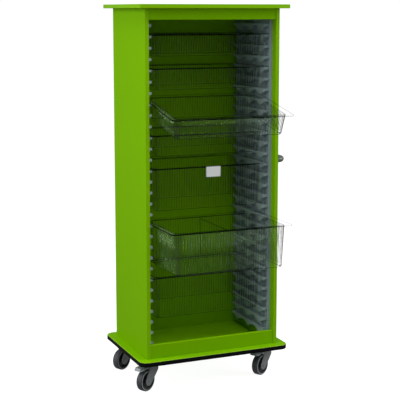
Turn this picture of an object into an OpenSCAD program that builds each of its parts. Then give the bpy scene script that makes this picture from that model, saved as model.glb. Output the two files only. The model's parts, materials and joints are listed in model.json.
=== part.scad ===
// Tray trolley: a tall open cabinet on four castors, with ladders of runners on
// both inner sides and seven clear slide-in trays. Millimetres, Z up, floor at 0.
// Before the last shift to the origin, X runs across the cabinet from its middle,
// Y runs back from the front edges of the side panels.

/* [Trays] */
// Width of a tray over its rim
tray_w = 590; // [480:2:700]
// Depth of a tray over its rim, front to back
tray_d = 395; // [330:1:460]
// Width of the flat rim all round a tray
rim_w = 26; // [22:1:32]
// Thickness of the rim
rim_t = 3.5; // [2:0.5:5]
// Corner radius of the rim
rim_r = 22; // [10:1:34]
// Width of the bead that stiffens the rim's edge
bead_w = 3; // [2:0.5:5]
// Height of the bead above the rim
bead_h = 1.5; // [0.5:0.5:3]
// Height of a shallow tray
shallow_h = 97; // [60:1:98]
// Height of a deep tray
deep_h = 197; // [150:1:198]
// Wall and floor thickness of a tray
tray_t = 2.5; // [1.5:0.5:4]
// How far each wall leans in from the rim to the floor
tray_lean = 10; // [4:1:16]
// Corner radius of a tray's body under the rim
tray_r = 28; // [22:1:40]
// Height of the foot ring under a tray
foot_ring_h = 5; // [2:1:10]
// How far the foot ring is set in from the walls
foot_ring_set = 4; // [2:1:8]
// Gap at each side between a tray's rim and the ladders
tray_play = 3; // [1:0.5:8]
// Distance of a closed tray behind the cabinet's front
tray_set = 23; // [10:1:40]
// Gap between a closed tray and the back panel
tray_back_gap = 6; // [2:1:20]
// How far the upper open tray is pulled out
pull_upper = 258; // [200:1:295]
// Angle by which the upper open tray hangs down in front, in degrees
tip_angle = 11.5; // [0:0.5:12]
// How far the lower open tray is pulled out
pull_lower = 253; // [0:1:295]
// Thickness of the divider in the lower open tray
divider_t = 2.5; // [1.5:0.5:4]
// Place of the divider, to the right of the tray's middle line
divider_x = -10; // [-200:1:200]
// Distance of the divider's top below the tray's rim
divider_drop = 5; // [0:1:40]

/* [Runner ladders] */
// Height from one ledge to the next
ledge_pitch = 50; // [50:1:60]
// Ledges in one ladder
ledges = 10; // [10:1:12]
// Ladders stacked on each side
stack = 3; // [3:1:3]
// How far a ladder's frame stands off the side panel
ladder_body = 13; // [10:1:20]
// How far a ledge reaches from the side panel
ledge_reach = 30; // [26:1:34]
// Thickness of a ladder's back plate
ladder_plate_t = 4; // [3:0.5:6]
// Thickness of a ledge at the crown of its arches
ledge_t = 10; // [6:1:14]
// Height of a ledge's feet, from its top face
ledge_foot_h = 28; // [20:1:34]
// Width of a ledge's foot and of the pillar under it
pillar_w = 16; // [12:1:24]
// Arches along one ledge
arches = 3; // [2:1:4]
// Set-back of a ledge's tip behind the ladder's front flange
ledge_tip_set = 14; // [8:1:20]
// Depth of the front and rear flanges, front to back
flange_d = 6; // [4:1:12]
// Set-back of a ladder behind the cabinet's front
ladder_set = 36; // [28:1:44]
// Gap between a ladder and the back panel
ladder_back_gap = 24; // [10:1:40]
// Height of the lowest ladder above the deck
ladder_lift = 33; // [20:1:60]
// Height of the lowest ledge's top in its ladder
ledge_rise = 30; // [29:1:36]
// Rows of fixing screws in one ladder
screw_rows = 3; // [2:1:4]

/* [Cabinet] */
// Thickness of the side panels, the top board and the rails
board_t = 18; // [16:1:25]
// Thickness of the back panel
back_t = 8; // [5:1:12]
// Depth of the rebate that holds the back panel
rebate_w = 8; // [6:1:10]
// Space from the ladders to the top board
head_space = 49; // [30:1:90]
// Height of the front rail under the top board
rail_h = 50; // [40:1:80]
// Height of the plinth rail on the deck
plinth_h = 64; // [40:1:90]
// Set-back of both rails behind the cabinet's front
rail_set = 2; // [0:1:6]
// Overhang of the top board
top_over = 37; // [10:1:60]
// Corner radius of the top board
top_r = 8; // [2:1:30]
// Overhang of the base board
base_over = 43; // [30:1:70]
// Corner radius of the base board
base_r = 38; // [20:1:60]
// Thickness of the base board
base_t = 22; // [18:1:30]
// Height of the bumper strip round the base board
bumper_h = 19; // [10:1:19]
// Thickness of the bumper strip
bumper_t = 5; // [4:1:8]
// How far the bumper stands proud of the base board
bumper_proud = 1; // [0.5:0.5:3]

/* [Handle] */
// Height of the handle above the deck
handle_z = 877; // [700:1:1100]
// Diameter of the handle's tube
handle_dia = 30; // [22:1:34]
// Distance from the side panel to the middle of the tube
handle_reach = 54; // [40:1:70]
// Distance of the handle's ends from the cabinet's front and back
handle_end = 45; // [30:1:90]
// Bend radius of the handle, to the middle of the tube
handle_bend = 28; // [22:1:34]
// Wall thickness of the handle's tube
handle_wall = 2.5; // [1.5:0.5:4]
// Diameter of a rosette at a handle's foot
rosette_dia = 44; // [38:1:54]
// Thickness of a rosette
rosette_t = 5; // [3:1:8]

/* [Label] */
// Width of the label card
card_w = 72; // [50:1:90]
// Height of the label card
card_h = 47; // [30:1:60]
// Thickness of the card
card_t = 0.6; // [0.4:0.1:1.5]
// Wall thickness of the clip-on holder
holder_t = 1.6; // [1.2:0.1:2.5]

/* [Castors] */
// Diameter of a wheel
wheel_dia = 100; // [90:1:125]
// Height from the top of a wheel to the base board
castor_head = 33; // [30:1:50]
// Width of a tyre
wheel_w = 32; // [26:1:36]
// Distance of the axle behind the swivel pin
trail = 41; // [32:1:46]
// Direction in which the castors trail, from +X
trail_angle = 210; // [0:1:359]
// Distance of a swivel pin from the base board's side edge
castor_in_x = 80; // [75:1:120]
// Distance of a swivel pin from the base board's front or back edge
castor_in_y = 92; // [80:1:130]
// Castor plate, left to right
plate_w = 100; // [92:1:110]
// Castor plate, front to back
plate_d = 86; // [80:1:100]
// Thickness of a castor plate
plate_t = 3.5; // [2.5:0.5:5]
// Bolt spacing on a castor plate, left to right
bolt_sx = 80; // [76:1:84]
// Bolt spacing on a castor plate, front to back
bolt_sy = 60; // [56:1:66]
// Diameter of the castor plate's bolts
bolt_dia = 8; // [6:1:8]
// Thickness of the fork's steel
fork_t = 4; // [3:0.5:5]
// Diameter of the axle
axle_dia = 10; // [8:1:12]
// Diameter of the swivel pin
kingpin_dia = 12; // [10:1:14]
// Radius of the fork's lower end round the axle
fork_end_r = 22; // [16:1:26]
// Reach of the brake pedal from the swivel pin
pedal_reach = 101; // [90:1:106]
// Width of the brake pedal's pad
pedal_w = 44; // [38:1:50]
// Travel of the brake pedal, in degrees
pedal_travel = 12; // [5:1:15]

/* [Hidden] */

$fn = 48;

// Clearances
seat_gap = 0.3;
run_fit = 0.05;
screw_fit = 0.1;
over_cut = 1;

// Colours
board_green = [0.44, 0.66, 0.02];
ladder_grey = [0.45, 0.49, 0.53];
clear_plastic = [0.85, 0.88, 0.9, 0.45];
black_rubber = [0.08, 0.08, 0.09];
zinc = [0.75, 0.77, 0.8];
handle_grey = [0.5, 0.52, 0.53];
fork_grey = [0.42, 0.43, 0.45];
tyre_grey = [0.17, 0.18, 0.2];
core_grey = [0.2, 0.2, 0.21];
pedal_grey = [0.62, 0.66, 0.68];

// Cabinet, from the trays outwards
inner_w = tray_w + 2 * (tray_play + ladder_body);
cab_w = inner_w + 2 * board_t;
inner_d = tray_set + tray_d + tray_back_gap;
cab_d = inner_d + back_t;
ladder_h = ledges * ledge_pitch;
side_h = ladder_lift + stack * ladder_h + head_space;
castor_h = wheel_dia + castor_head;
deck_z = castor_h + base_t;
top_z = deck_z + side_h;

// Ladders
ladder_len = inner_d - ladder_set - ladder_back_gap;
arch_pitch = ladder_len / arches;
arch_rise = ledge_foot_h - ledge_t;
foot_lip = 1.5;
arch_span = arch_pitch - pillar_w - 2 * foot_lip;
arch_r = (arch_span * arch_span / 4 + arch_rise * arch_rise) / (2 * arch_rise);
ledge_count = stack * ledges;
function ledge_z(level) = deck_z + ladder_lift + ledge_rise + (ledge_count - 1 - level) * ledge_pitch;
ladder_screw_dia = 4;
ladder_screw_head = 8;
ladder_screw_len = 15;
ladder_screw_head_h = 2.4;
ladder_screw_top = 5;
ladder_screw_room = 2;

// Trays: ledge counted down from the top, height, distance pulled out and angle tipped
tray_plan = [
    [1, shallow_h, 0, 0],
    [4, shallow_h, 0, 0],
    [7, shallow_h, pull_upper, tip_angle],
    [10, shallow_h, 0, 0],
    [13, deep_h, 0, 0],
    [18, deep_h, pull_lower, 0],
    [23, deep_h, 0, 0]
];
ledge_front = ladder_set + ledge_tip_set;
labelled_tray = 4;
divided_tray = 5;
divider_bead_w = 6;
divider_bead_h = 2.5;
guide_t = 2;
guide_d = 4;
label_x = 7;
holder_front = -2 * (seat_gap + holder_t) - card_t;
hook_top = rim_t + bead_h + seat_gap + holder_t;
hook_grip = 10;
card_low = rim_t - card_h;
window_lip = 2;
body_w = tray_w - 2 * rim_w;
body_d = tray_d - 2 * rim_w;
divided_floor = tray_t + rim_t + foot_ring_h - tray_plan[divided_tray][1];

// Base board
deck_w = cab_w + 2 * base_over;
deck_d = cab_d + 2 * base_over;
deck_mid = cab_d / 2;
lip_t = base_t - bumper_h;

// Dowels and panel screws
dowel_dia = 8;
dowel_len = 30;
dowel_in_board = 11;
dowel_end = 60;
dowel_mid = 40;
dowel_ys = [dowel_end, cab_d / 2 - dowel_mid, cab_d / 2 + dowel_mid, cab_d - dowel_end];
rail_dowel_share = 0.3;
base_screw_dia = 5;
base_screw_len = 50;
base_screw_step = 85;
base_screw_ys = [cab_d / 2 - base_screw_step, cab_d / 2, cab_d / 2 + base_screw_step];
back_screw_dia = 3.5;
back_screw_len = 25;
back_screw_rows = 6;
back_screw_end = 60;

// Handle
handle_x = cab_w / 2 + handle_reach;
handle_ys = [handle_end + handle_dia / 2, cab_d - handle_end - handle_dia / 2];
handle_bolt_dia = 6;
handle_bolt_grip = 15;

// Castors
castor_x = deck_w / 2 - castor_in_x;
castor_ys = [castor_in_y - base_over, cab_d + base_over - castor_in_y];
axle_z = wheel_dia / 2;
tyre_t = 10;
core_r = wheel_dia / 2 - tyre_t;
hub_proud = 1.5;
hub_half = wheel_w / 2 + hub_proud;
hub_play = 0.5;
fork_in = hub_half + hub_play;
fork_out = fork_in + fork_t;
plate_r = 7;
race_h = 5;
race_r = 29;
crown_top = castor_h - plate_t - race_h - seat_gap;
crown_t = 5;
crown_r = 33;
leg_back = 25;
leg_front = 25;
leg_shoulder_r = 14;
leg_shoulder_drop = 28;
kingpin_head_h = 4;
kingpin_head_r = 9;
pedal_x = 16;
pedal_pin_dia = 6;
pedal_t = 5;
pedal_under = 1;
brake_gap = 1.2;
pedal_z = axle_z + (wheel_dia / 2 + brake_gap + pedal_under - (pedal_x - trail) * sin(pedal_travel))
    / cos(pedal_travel);
pedal_r = 12;
pad_len = 40;
pad_t = 13;
pad_lean = 5;
pad_wall = 2.5;
tyre_shoulder = 6;
sidewall_rib_r = 43;
sidewall_rib_w = 1.6;
sidewall_rib_h = 0.6;
hex_ratio = 1.75;
bolt_head_h = 5;
bolt_len = 18;

// How far a castor reaches from its swivel axis in a direction, at its tyre and its pedal
function tyre_span(way) =
    let (along = cos(way - trail_angle), across = abs(sin(way - trail_angle)))
    trail * along + (wheel_dia / 2 - tyre_shoulder) * abs(along)
        + (wheel_w / 2 - tyre_shoulder) * across + tyre_shoulder;
function pedal_span(way) =
    let (along = cos(way - trail_angle), across = abs(sin(way - trail_angle)))
    (pedal_reach - pedal_r) * along + (pedal_w / 2 - pedal_r) * across + pedal_r;
function front_castor_span(way) = max(tyre_span(way), pedal_span(way));

// The origin is the middle of the whole object's box, on the floor
box_left = -max(deck_w / 2 + bumper_proud, castor_x + front_castor_span(180));
box_right = max(deck_w / 2 + bumper_proud, handle_x + handle_dia / 2, castor_x + front_castor_span(0));
tipped_front = ledge_front + (tray_set - pull_upper - ledge_front) * cos(tip_angle)
    - (seat_gap + rim_t + bead_h) * sin(tip_angle);
box_front = min(-base_over - bumper_proud, tray_set - pull_lower, tipped_front,
    castor_ys[0] - front_castor_span(270));
box_back = max(cab_d + base_over + bumper_proud, castor_ys[1] + tyre_span(90));
origin = [(box_left + box_right) / 2, (box_front + box_back) / 2, 0];

// The point where a line from p touches the circle round c
function tangent_point(p, c, r, side) =
    let (d = norm(c - p), a = atan2(c[1] - p[1], c[0] - p[0]), b = asin(r / d))
    p + sqrt(d * d - r * r) * [cos(a + side * b), sin(a + side * b)];

// The way from a circle's centre to where the line that touches both circles meets it
function outer_tangent(c1, r1, c2, r2, side) =
    let (d = c2 - c1, a = atan2(d[1], d[0]) + side * acos((r1 - r2) / norm(d)))
    [cos(a), sin(a)];

// Shared shapes

// A rectangle with round corners, centred
module round_rect(w, d, r) {
    square([w - 2 * r, d], center = true);
    square([w, d - 2 * r], center = true);
    for (sx = [-1, 1]) for (sy = [-1, 1])
        translate([sx * (w / 2 - r), sy * (d / 2 - r)]) circle(r);
}

// A block with leaning walls and cone corners; its top face is at z = 0
module leaning_block(w, d, r, h, lean) {
    for (sx = [-1, 1]) for (sy = [-1, 1])
        translate([sx * (w / 2 - r), sy * (d / 2 - r), -h]) cylinder(h = h, r1 = r - lean, r2 = r);
    rotate([90, 0, 0]) linear_extrude(d - 2 * r, center = true)
        polygon([[-w / 2, 0], [w / 2, 0], [w / 2 - lean, -h], [lean - w / 2, -h]]);
    rotate([90, 0, 90]) linear_extrude(w - 2 * r, center = true)
        polygon([[-d / 2, 0], [d / 2, 0], [d / 2 - lean, -h], [lean - d / 2, -h]]);
}

// A countersunk screw that points down, its head's top face at z = 0
module flat_screw(dia, head, length) {
    head_h = (head - dia) / 2;
    translate([0, 0, -head_h]) cylinder(h = head_h, r1 = dia / 2, r2 = head / 2);
    translate([0, 0, -length]) cylinder(h = length - head_h, r = dia / 2);
}

// The hole for such a screw, with clearance all round
module flat_screw_hole(dia, head, length) {
    head_h = (head - dia) / 2;
    translate([0, 0, -head_h])
        cylinder(h = head_h, r1 = dia / 2 + screw_fit, r2 = head / 2 + screw_fit);
    translate([0, 0, -length - seat_gap])
        cylinder(h = length + seat_gap - head_h, r = dia / 2 + screw_fit);
    cylinder(h = over_cut, r = head / 2 + screw_fit);
}

// Cabinet

module at_base_dowels() {
    for (side = [-1, 1]) for (y = dowel_ys)
        translate([side * (cab_w - board_t) / 2, y, deck_z]) children();
}

module at_top_dowels() {
    for (side = [-1, 1]) for (y = dowel_ys)
        translate([side * (cab_w - board_t) / 2, y, top_z]) children();
}

module at_rail_dowels() {
    for (side = [-1, 1])
        for (share = [rail_dowel_share, 1 - rail_dowel_share])
            for (z = [deck_z + plinth_h * share, top_z - rail_h * share])
                translate([side * inner_w / 2, rail_set + board_t / 2, z]) rotate([0, side * 90, 0])
                    children();
}

// A dowel with the given part of its length above z = 0
module dowel(above, fit) {
    translate([0, 0, above - dowel_len - fit]) cylinder(h = dowel_len + 2 * fit, d = dowel_dia + 2 * fit);
}

module at_base_screws() {
    for (side = [-1, 1]) for (y = base_screw_ys)
        translate([side * (cab_w - board_t) / 2, y, castor_h]) rotate([180, 0, 0]) children();
}

module at_back_screws() {
    for (side = [-1, 1]) for (row = [0 : back_screw_rows - 1])
        translate([
            side * (inner_w + rebate_w) / 2,
            cab_d,
            deck_z + back_screw_end + row * (side_h - 2 * back_screw_end) / (back_screw_rows - 1)
        ]) rotate([-90, 0, 0]) children();
}

module at_castors() {
    for (side = [-1, 1]) for (y = castor_ys) translate([side * castor_x, y, 0]) children();
}

module at_castor_bolts() {
    at_castors() for (sx = [-1, 1]) for (sy = [-1, 1])
        translate([sx * bolt_sx / 2, sy * bolt_sy / 2, castor_h - plate_t]) children();
}

module base_board() {
    color(board_green) difference() {
        union() {
            translate([0, deck_mid, deck_z - lip_t]) linear_extrude(lip_t)
                round_rect(deck_w, deck_d, base_r);
            translate([0, deck_mid, castor_h]) linear_extrude(bumper_h)
                round_rect(deck_w - 2 * (bumper_t - bumper_proud), deck_d - 2 * (bumper_t - bumper_proud),
                    base_r - bumper_t + bumper_proud);
        }
        at_base_dowels() dowel(dowel_len / 2, run_fit);
        at_base_screws() flat_screw_hole(base_screw_dia, 2 * base_screw_dia, base_screw_len);
        at_castor_bolts() cylinder(h = bolt_len + seat_gap, d = bolt_dia + 2 * screw_fit);
    }
}

module edge_bumper() {
    color(black_rubber) translate([0, deck_mid, castor_h]) difference() {
        linear_extrude(bumper_h) round_rect(deck_w + 2 * bumper_proud, deck_d + 2 * bumper_proud,
            base_r + bumper_proud);
        translate([0, 0, -over_cut]) linear_extrude(bumper_h + 2 * over_cut)
            round_rect(deck_w - 2 * (bumper_t - bumper_proud), deck_d - 2 * (bumper_t - bumper_proud),
                base_r - bumper_t + bumper_proud);
    }
}

module side_panel(side) {
    color(board_green) difference() {
        translate([side > 0 ? inner_w / 2 : -cab_w / 2, 0, deck_z]) cube([board_t, cab_d, side_h]);
        translate([side > 0 ? inner_w / 2 - over_cut : -inner_w / 2 - rebate_w, inner_d, deck_z - over_cut])
            cube([rebate_w + over_cut, back_t + over_cut, side_h + 2 * over_cut]);
        at_base_dowels() dowel(dowel_len / 2, run_fit);
        at_top_dowels() dowel(dowel_in_board, run_fit);
        at_rail_dowels() dowel(dowel_in_board, run_fit);
        at_base_screws() flat_screw_hole(base_screw_dia, 2 * base_screw_dia, base_screw_len);
        at_back_screws() flat_screw_hole(back_screw_dia, 2 * back_screw_dia, back_screw_len);
        for (tier = [0 : stack - 1]) at_ladder_screws(side, tier)
            translate([0, 0, -ladder_screw_len - seat_gap])
                cylinder(h = ladder_screw_len + seat_gap, d = ladder_screw_dia + 2 * screw_fit);
        if (side > 0) at_handle_bolts()
            flat_screw_hole(handle_bolt_dia, 2 * handle_bolt_dia, board_t + handle_bolt_grip);
    }
}

module back_panel() {
    color(board_green) difference() {
        translate([-inner_w / 2 - rebate_w, inner_d, deck_z])
            cube([inner_w + 2 * rebate_w, back_t, side_h]);
        at_back_screws() flat_screw_hole(back_screw_dia, 2 * back_screw_dia, back_screw_len);
    }
}

module front_rail(height, z) {
    color(board_green) difference() {
        translate([-inner_w / 2, rail_set, z]) cube([inner_w, board_t, height]);
        at_rail_dowels() dowel(dowel_in_board, run_fit);
    }
}

module top_board() {
    color(board_green) difference() {
        translate([0, deck_mid, top_z]) linear_extrude(board_t)
            round_rect(cab_w + 2 * top_over, cab_d + 2 * top_over, top_r);
        at_top_dowels() dowel(dowel_in_board, run_fit);
    }
}

module panel_dowels() {
    color("burlywood") {
        at_base_dowels() dowel(dowel_len / 2, 0);
        at_top_dowels() dowel(dowel_in_board, 0);
        at_rail_dowels() dowel(dowel_in_board, 0);
    }
}

module base_screws() {
    color(zinc) at_base_screws() flat_screw(base_screw_dia, 2 * base_screw_dia, base_screw_len);
}

module back_screws() {
    color(zinc) at_back_screws() flat_screw(back_screw_dia, 2 * back_screw_dia, back_screw_len);
}

// Runner ladders. Each is drawn on the left wall at x = 0, reaching towards +X,
// with its front lower corner at the origin.

module ledge_profile() {
    difference() {
        translate([ledge_tip_set, -ledge_foot_h]) square([ladder_len - ledge_tip_set, ledge_foot_h]);
        for (i = [0 : arches])
            translate([i * arch_pitch, -ledge_foot_h - arch_r + arch_rise]) circle(arch_r, $fn = 96);
    }
}

function pillar_y(i) = (i + 0.5) * arch_pitch;
function screw_level(row) = floor((row + 0.5) * ledges / screw_rows);
function screw_height(row) =
    ledge_rise + (screw_level(row) - 0.5) * ledge_pitch - (ledge_foot_h - ledge_t) / 2;

module ladder_blank() {
    difference() {
        union() {
            cube([ladder_plate_t, ladder_len, ladder_h]);
            for (y = [0, ladder_len - flange_d]) translate([0, y, 0])
                cube([ladder_body, flange_d, ladder_h]);
            for (i = [0 : arches - 1]) translate([0, pillar_y(i) - pillar_w / 2, 0])
                cube([ladder_body, pillar_w, ladder_h]);
            for (k = [0 : ledges - 1]) translate([ladder_plate_t / 2, 0, ledge_rise + k * ledge_pitch])
                rotate([90, 0, 90]) linear_extrude(ledge_reach - ladder_plate_t / 2) ledge_profile();
        }
        for (i = [0, arches - 1]) for (row = [0 : screw_rows - 1])
            translate([0, pillar_y(i), screw_height(row)]) rotate([0, 90, 0]) {
                translate([0, 0, -over_cut])
                    cylinder(h = ladder_body + 2 * over_cut, d = ladder_screw_dia + 2 * screw_fit);
                translate([0, 0, ladder_plate_t])
                    cylinder(h = ladder_body, d = ladder_screw_head + ladder_screw_room);
            }
    }
}

module on_wall(side, tier) {
    translate([side * inner_w / 2, ladder_set, deck_z + ladder_lift + tier * ladder_h])
        mirror([side > 0 ? 1 : 0, 0, 0]) children();
}

module at_ladder_screws(side, tier) {
    on_wall(side, tier) for (i = [0, arches - 1]) for (row = [0 : screw_rows - 1])
        translate([ladder_plate_t, pillar_y(i), screw_height(row)]) rotate([0, 90, 0]) children();
}

module ladder(side, tier) {
    color(ladder_grey) on_wall(side, tier) ladder_blank();
}

module ladder_screws() {
    color(zinc) for (side = [-1, 1]) for (tier = [0 : stack - 1]) at_ladder_screws(side, tier) {
        cylinder(h = ladder_screw_head_h, d1 = ladder_screw_head, d2 = ladder_screw_top);
        translate([0, 0, -ladder_screw_len]) cylinder(h = ladder_screw_len, d = ladder_screw_dia);
    }
}

// Handle, a bowed tube on the right side panel

module at_handle_bolts() {
    for (y = handle_ys) translate([inner_w / 2, y, deck_z + handle_z]) rotate([0, -90, 0]) children();
}

module bow(dia, foot) {
    straight = handle_ys[1] - handle_ys[0] - 2 * handle_bend;
    for (y = handle_ys) translate([foot, y, 0]) rotate([0, 90, 0])
        cylinder(h = handle_x - handle_bend - foot, d = dia);
    translate([handle_x, handle_ys[0] + handle_bend, 0]) rotate([-90, 0, 0])
        cylinder(h = straight, d = dia);
    translate([handle_x - handle_bend, handle_ys[0] + handle_bend, 0]) rotate([0, 0, -90])
        rotate_extrude(angle = 90) translate([handle_bend, 0]) circle(d = dia);
    translate([handle_x - handle_bend, handle_ys[1] - handle_bend, 0])
        rotate_extrude(angle = 90) translate([handle_bend, 0]) circle(d = dia);
}

module handle_bar() {
    foot = cab_w / 2 + rosette_t;
    straight = handle_ys[1] - handle_ys[0] - 2 * handle_bend;
    color(handle_grey) difference() {
        translate([0, 0, deck_z + handle_z]) difference() {
            bow(handle_dia, foot);
            translate([handle_x, handle_ys[0] + handle_bend, 0]) rotate([-90, 0, 0])
                cylinder(h = straight, d = handle_dia - 2 * handle_wall);
        }
        at_handle_bolts() translate([0, 0, -board_t - handle_bolt_grip - seat_gap])
            cylinder(h = handle_bolt_grip + seat_gap, d = handle_bolt_dia + 2 * run_fit);
    }
}

module handle_rosette(y) {
    color(handle_grey) translate([cab_w / 2, y, deck_z + handle_z]) rotate([0, 90, 0]) difference() {
        cylinder(h = rosette_t, d1 = rosette_dia, d2 = rosette_dia - 2 * rosette_t);
        translate([0, 0, -over_cut])
            cylinder(h = rosette_t + 2 * over_cut, d = handle_bolt_dia + 2 * screw_fit);
    }
}

module handle_bolts() {
    color(zinc) at_handle_bolts()
        flat_screw(handle_bolt_dia, 2 * handle_bolt_dia, board_t + handle_bolt_grip);
}

// Trays. A tray is drawn with the underside of its rim at z = 0.

module tray_body(h) {
    wall_h = h - rim_t - foot_ring_h;
    floor_w = body_w - 2 * tray_lean - 2 * foot_ring_set;
    floor_d = body_d - 2 * tray_lean - 2 * foot_ring_set;
    difference() {
        union() {
            linear_extrude(rim_t) round_rect(tray_w, tray_d, rim_r);
            translate([0, 0, rim_t]) linear_extrude(bead_h) difference() {
                round_rect(tray_w, tray_d, rim_r);
                round_rect(tray_w - 2 * bead_w, tray_d - 2 * bead_w, rim_r - bead_w);
            }
            leaning_block(body_w, body_d, tray_r, wall_h, tray_lean);
            translate([0, 0, -wall_h - foot_ring_h]) linear_extrude(foot_ring_h + tray_t / 2)
                round_rect(floor_w, floor_d, tray_r - tray_lean - foot_ring_set);
        }
        leaning_block(body_w - 2 * tray_t, body_d - 2 * tray_t, tray_r - tray_t,
            wall_h - tray_t, tray_lean);
        translate([0, 0, -over_cut / 10]) linear_extrude(rim_t + bead_h + over_cut)
            round_rect(body_w - 2 * tray_t, body_d - 2 * tray_t, tray_r - tray_t);
        translate([0, 0, -wall_h - foot_ring_h - over_cut]) linear_extrude(foot_ring_h + over_cut)
            round_rect(floor_w - 2 * tray_t, floor_d - 2 * tray_t,
                tray_r - tray_lean - foot_ring_set - tray_t);
    }
}

// A tray lies on its ledge, or hangs tipped over the ledge's front end
module at_tray(i) {
    plan = tray_plan[i];
    translate([0, ledge_front, ledge_z(plan[0])]) rotate([plan[3], 0, 0])
        translate([0, tray_set + tray_d / 2 - plan[2] - ledge_front, seat_gap]) children();
}

// Half the inner depth of the divided tray at a height under its rim, on its leaning end walls
function end_wall(z) = body_d / 2 - tray_t - tray_lean * z / divided_floor;

// A pair of small ribs on each end wall, between which the divider stands
module divider_guides() {
    upper = -divider_drop - divider_bead_h - seat_gap;
    lower = divided_floor - tray_t / 2;
    for (side = [-1, 1]) for (end = [0, 1])
        translate([divider_x + side * (divider_t / 2 + seat_gap + guide_t / 2), 0, 0])
            mirror([0, end, 0]) rotate([90, 0, 90]) linear_extrude(guide_t, center = true) polygon([
                [end_wall(upper) + tray_t / 2, upper],
                [end_wall(upper) - guide_d, upper],
                [end_wall(lower) - guide_d, lower],
                [end_wall(lower) + tray_t / 2, lower]
            ]);
}

module tray(i) {
    color(clear_plastic) at_tray(i) {
        tray_body(tray_plan[i][1]);
        if (i == divided_tray) divider_guides();
    }
}

// A loose wall across a tray, front to back, whose ends lean with the tray's walls
module tray_divider() {
    upper = -divider_drop;
    under_bead = upper - divider_bead_h;
    lower = divided_floor + seat_gap;
    bead_end = end_wall(under_bead) - seat_gap;
    color(clear_plastic) at_tray(divided_tray) translate([divider_x, 0, 0]) rotate([90, 0, 90]) {
        linear_extrude(divider_t, center = true) polygon([
            [end_wall(upper) - seat_gap, upper],
            [seat_gap - end_wall(upper), upper],
            [seat_gap - end_wall(lower), lower],
            [end_wall(lower) - seat_gap, lower]
        ]);
        translate([-bead_end, under_bead]) linear_extrude(divider_bead_w, center = true)
            square([2 * bead_end, divider_bead_h]);
    }
}

// Label holder: a pocket that hangs from the rim by a hook

module at_label() {
    at_tray(labelled_tray) translate([label_x, -tray_d / 2, 0]) children();
}

module label_holder() {
    outer_w = card_w + 2 * holder_t;
    color(clear_plastic) at_label() difference() {
        union() {
            translate([-outer_w / 2, holder_front, card_low - holder_t])
                cube([outer_w, -seat_gap - holder_front, hook_top - card_low + holder_t]);
            translate([-outer_w / 2, holder_front, hook_top - holder_t])
                cube([outer_w, hook_grip - holder_front, holder_t]);
            translate([-outer_w / 2, holder_front, -seat_gap - holder_t])
                cube([outer_w, hook_grip / 2 - holder_front, holder_t]);
        }
        translate([-(card_w + seat_gap) / 2, holder_front + holder_t - seat_gap / 2, card_low])
            cube([card_w + seat_gap, card_t + seat_gap, card_h + hook_top]);
        translate([-card_w / 2 + window_lip, holder_front - over_cut, card_low + window_lip])
            cube([card_w - 2 * window_lip, holder_t + over_cut, card_h + hook_top]);
    }
}

module label_card() {
    color("white") at_label()
        translate([-card_w / 2, holder_front + holder_t, card_low]) cube([card_w, card_t, card_h]);
}

// Castors. A castor is drawn with its swivel axis at the origin, on the floor,
// and trails towards +X.

module turned() {
    rotate([0, 0, trail_angle]) children();
}

module castor_plate() {
    color(zinc) difference() {
        union() {
            translate([0, 0, castor_h - plate_t]) linear_extrude(plate_t)
                round_rect(plate_w, plate_d, plate_r);
            translate([0, 0, castor_h - plate_t - race_h]) cylinder(h = race_h, r = race_r);
        }
        for (sx = [-1, 1]) for (sy = [-1, 1])
            translate([sx * bolt_sx / 2, sy * bolt_sy / 2, castor_h - plate_t - over_cut])
                cylinder(h = plate_t + 2 * over_cut, d = bolt_dia + 2 * screw_fit);
        translate([0, 0, castor_h - plate_t - race_h - over_cut])
            cylinder(h = plate_t + race_h + 2 * over_cut, d = kingpin_dia + 2 * run_fit);
    }
}

module castor_bolts() {
    color(zinc) at_castor_bolts() {
        translate([0, 0, -bolt_head_h]) cylinder(h = bolt_head_h, d = bolt_dia * hex_ratio, $fn = 6);
        cylinder(h = bolt_len, d = bolt_dia);
    }
}

module kingpin() {
    low = crown_top - crown_t - seat_gap;
    color(zinc) {
        translate([0, 0, low]) cylinder(h = castor_h - low, d = kingpin_dia);
        translate([0, 0, low - kingpin_head_h]) cylinder(h = kingpin_head_h, r = kingpin_head_r);
    }
}

module fork_leg_outline() {
    axle = [trail, axle_z];
    high_back = [-leg_back, crown_top - crown_t / 2];
    high_front = [leg_front, crown_top - crown_t / 2];
    shoulder = [leg_shoulder_r - leg_back, crown_top - leg_shoulder_drop];
    slope = outer_tangent(shoulder, leg_shoulder_r, axle, fork_end_r, -1);
    difference() {
        union() {
            polygon([
                high_back,
                shoulder - [leg_shoulder_r, 0],
                shoulder,
                shoulder + leg_shoulder_r * slope,
                axle + fork_end_r * slope,
                axle,
                tangent_point(high_front, axle, fork_end_r, 1),
                high_front
            ]);
            translate(shoulder) circle(leg_shoulder_r);
            translate(axle) circle(fork_end_r);
        }
        translate(axle) circle(d = axle_dia + 2 * run_fit);
        translate([pedal_x, pedal_z]) circle(d = pedal_pin_dia + 2 * run_fit);
    }
}

module fork() {
    color(fork_grey) turned() {
        difference() {
            union() {
                translate([0, 0, crown_top - crown_t]) cylinder(h = crown_t, r = crown_r);
                for (side = [-1, 1]) translate([0, side > 0 ? fork_out : -fork_in, 0])
                    rotate([90, 0, 0]) linear_extrude(fork_t) fork_leg_outline();
            }
            translate([0, 0, crown_top - crown_t - over_cut])
                cylinder(h = crown_t + 2 * over_cut, d = kingpin_dia + 2 * run_fit);
        }
    }
}

module at_axle() {
    turned() translate([trail, 0, axle_z]) rotate([90, 0, 0]) children();
}

module axle() {
    cap_h = 2.5;
    cap_r = 10;
    color(fork_grey) at_axle() {
        translate([0, 0, -fork_out]) cylinder(h = 2 * fork_out, d = axle_dia);
        for (side = [0, 1]) mirror([0, 0, side])
            translate([0, 0, fork_out]) cylinder(h = cap_h, r1 = cap_r, r2 = cap_r - cap_h);
    }
}

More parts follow.
